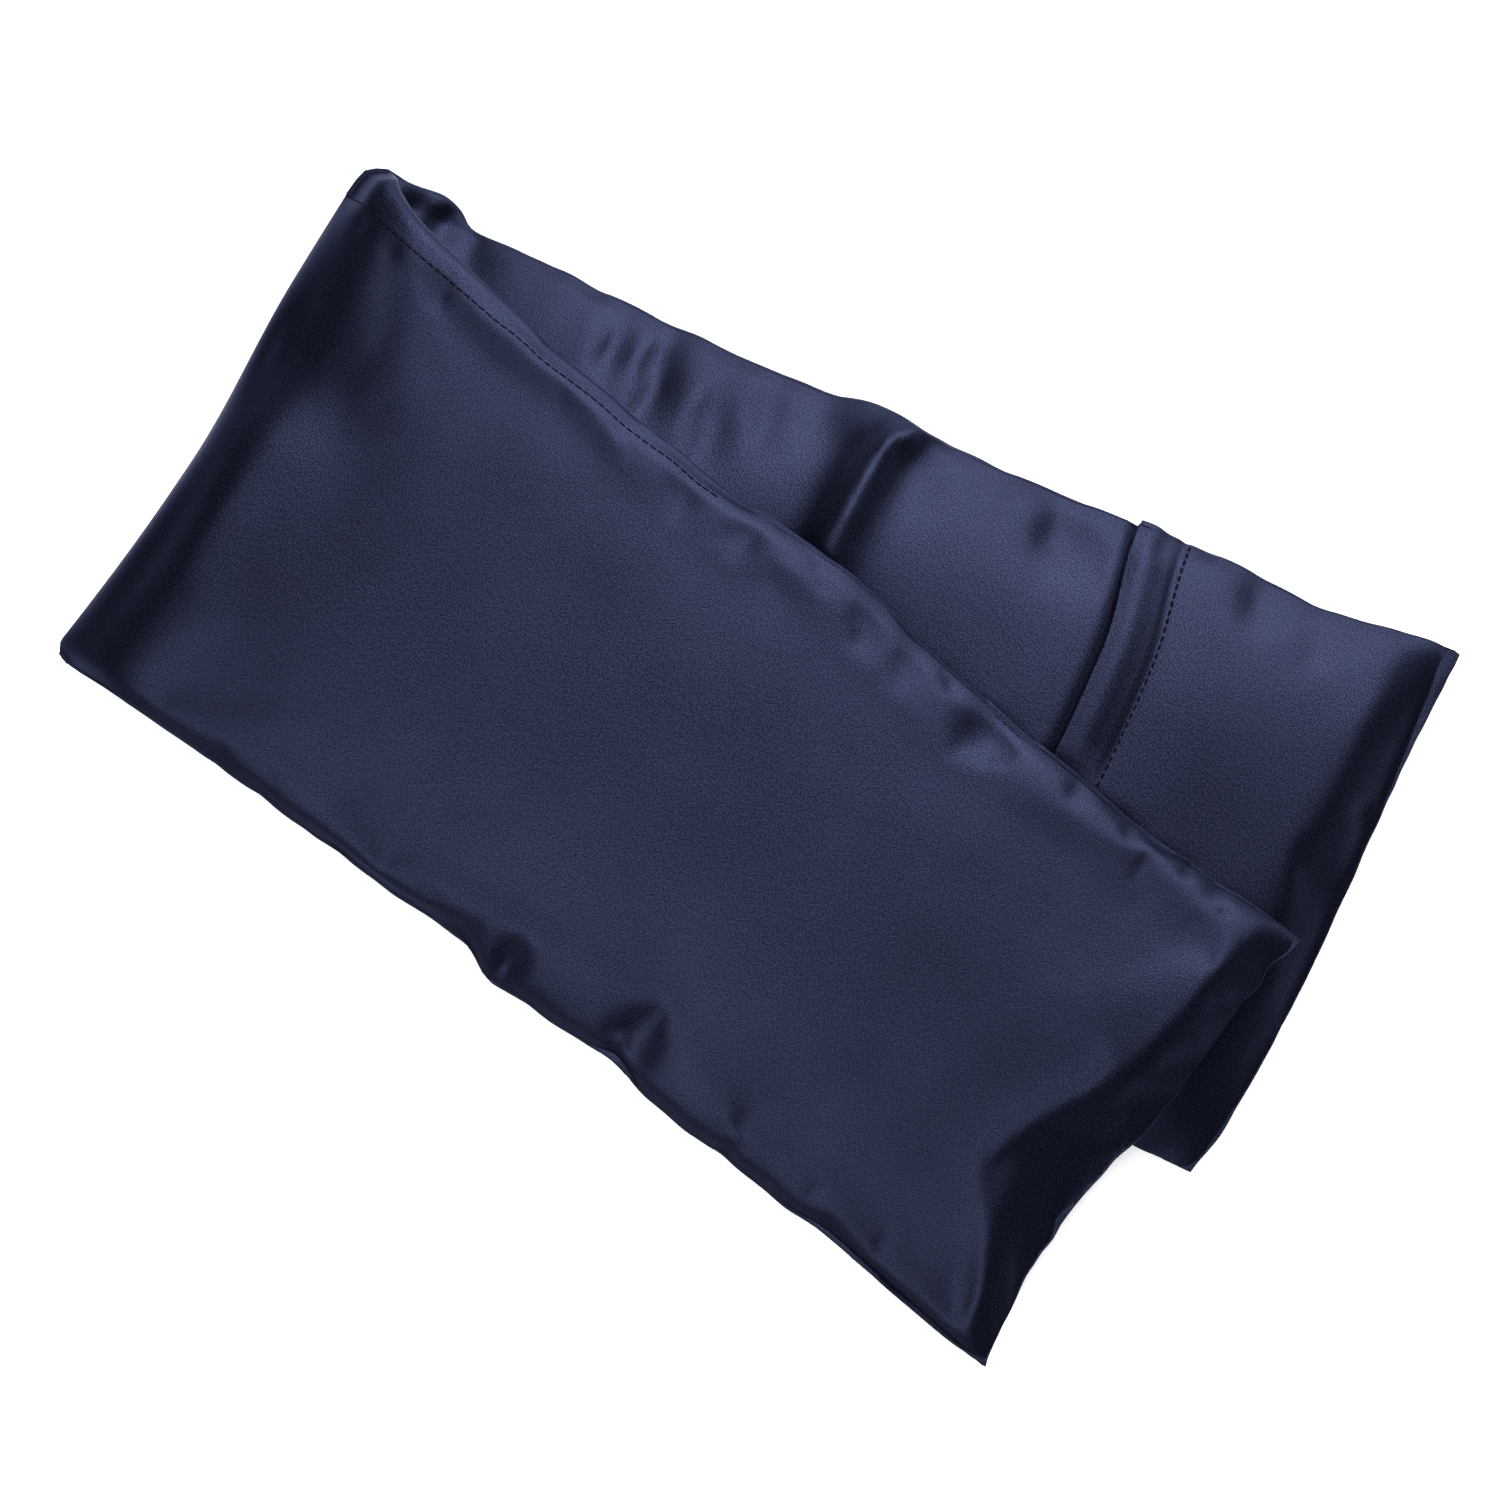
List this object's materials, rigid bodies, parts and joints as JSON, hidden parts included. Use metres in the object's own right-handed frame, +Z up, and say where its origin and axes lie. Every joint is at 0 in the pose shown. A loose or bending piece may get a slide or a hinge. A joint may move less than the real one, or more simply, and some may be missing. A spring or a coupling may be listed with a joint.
{
  "type": "eye pillow",
  "caption": "Long satin eye pillow filled with flax seed, folded in half on an oblique fold line, with an envelope opening near one end.",
  "frame": {"origin": "on the surface that the pillow lies on, under the middle of its bounding box", "axes": "+X from the fold line towards the closed ends, +Y along the fold line, +Z up"},
  "size_m": [0.3244, 0.2284, 0.0408],
  "materials": {
    "satin": "navy blue satin weave with a soft sheen",
    "satin_hem": "navy blue satin, turned under",
    "thread": "dark blue polyester thread",
    "cotton": "unbleached cotton",
    "cotton_thread": "cotton thread",
    "flax": "glossy brown flax seed"
  },
  "bodies": {
    "lower_leaf": {"front_panel_lower": "satin", "back_panel_long": "satin", "back_panel_flap": "satin", "flap_hem": "satin_hem", "flap_hem_stitches": "thread", "long_panel_hem": "satin_hem", "side_seam_threads_lower": "thread", "end_seam_thread_lower": "thread", "inner_bag_front_lower": "cotton", "inner_bag_back_lower": "cotton", "inner_bag_seam_threads_lower": "cotton_thread", "channel_stitches_lower": "cotton_thread", "flax_fill_lower_fold_side": "flax", "flax_fill_lower_end_side": "flax", "fold_crease_cloth": "satin_hem"},
    "upper_leaf": {"front_panel_upper": "satin", "back_panel_upper": "satin", "side_seam_threads_upper": "thread", "end_seam_thread_upper": "thread", "inner_bag_front_upper": "cotton", "inner_bag_back_upper": "cotton", "inner_bag_seam_threads_upper": "cotton_thread", "channel_stitches_upper": "cotton_thread", "flax_fill_upper_fold_side": "flax", "flax_fill_upper_end_side": "flax"}
  },
  "joints": [
    {"name": "unfold", "type": "hinge", "parent": "lower_leaf", "child": "upper_leaf", "pos_m": [-0.16265, 0, 0.0204], "axis": [0, -1, 0], "range_deg": [0, 180], "deforming": ["fold_crease_cloth"]}
  ]
}
